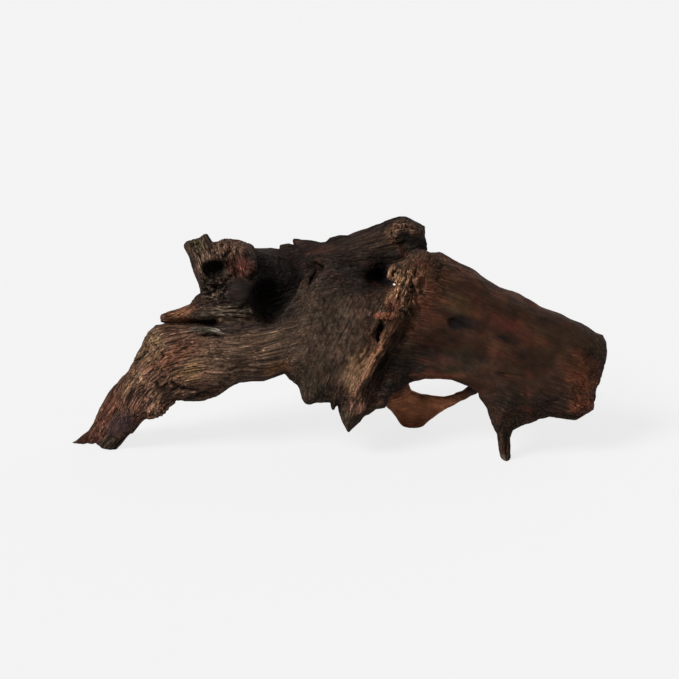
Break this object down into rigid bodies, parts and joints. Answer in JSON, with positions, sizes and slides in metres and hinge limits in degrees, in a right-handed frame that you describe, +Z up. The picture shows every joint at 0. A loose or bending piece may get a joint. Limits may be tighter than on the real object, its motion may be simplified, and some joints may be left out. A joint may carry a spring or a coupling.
{
  "type": "driftwood",
  "caption": "Arched piece of dark driftwood, a worn root end that stands free on a long leg, a thin peg and a root fin, with a burl and a hollowed trough.",
  "frame": {"origin": "the centre of the box that holds the piece, on the surface it stands on", "axes": "+X along the piece, from the long leg towards the heavy broken end; +Y towards the back wall; +Z up"},
  "size_m": [0.3721, 0.1178, 0.1545],
  "materials": {
    "weathered_wood": "dark, dry and matt, with a raised weathered grain"
  },
  "bodies": {
    "root": {"driftwood": "weathered_wood"}
  },
  "joints": []
}
